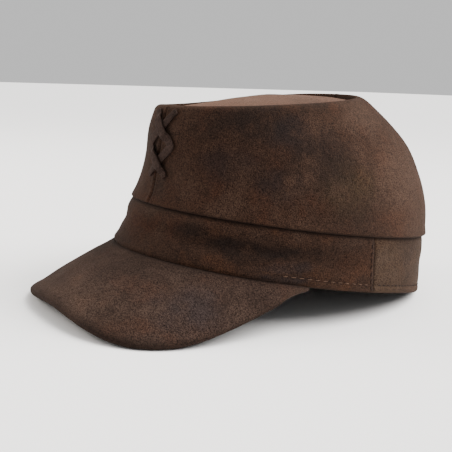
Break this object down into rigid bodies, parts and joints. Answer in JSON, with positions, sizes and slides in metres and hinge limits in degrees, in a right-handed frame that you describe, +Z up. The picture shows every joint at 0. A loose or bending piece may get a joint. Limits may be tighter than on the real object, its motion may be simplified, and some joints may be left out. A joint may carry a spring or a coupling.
{
  "type": "peaked cap",
  "caption": "Soft brown suede peaked cap with a forward-leaning oval crown, sewn band, drooping peak and crossed leather lace.",
  "frame": {"origin": "centre of the cap's outline on the surface it stands on, below the whole cap", "axes": "+Z up, -Y the way the peak points, +X towards the wearer's left"},
  "size_m": [0.1744, 0.2488, 0.1226],
  "materials": {
    "crown_side_left": "brushed suede, dark red-brown with worn blue-black patches",
    "crown_side_right": "brushed suede, dark red-brown with worn blue-black patches",
    "crown_top": "brushed suede, lighter brown",
    "band_front": "brushed suede, dark red-brown",
    "band_back": "brushed suede, olive brown",
    "peak": "brushed suede, dark red-brown, worn darker at the edge",
    "lace_under_first": "flat thong, dull dark brown",
    "lace_over_first": "flat thong, dull dark brown"
  },
  "bodies": {
    "root": {"crown_side_left": "crown_side_left", "crown_side_right": "crown_side_right", "crown_top": "crown_top", "band_front": "band_front", "band_back": "band_back", "peak": "peak", "lace_under_first": "lace_under_first", "lace_over_first": "lace_over_first"}
  },
  "joints": []
}
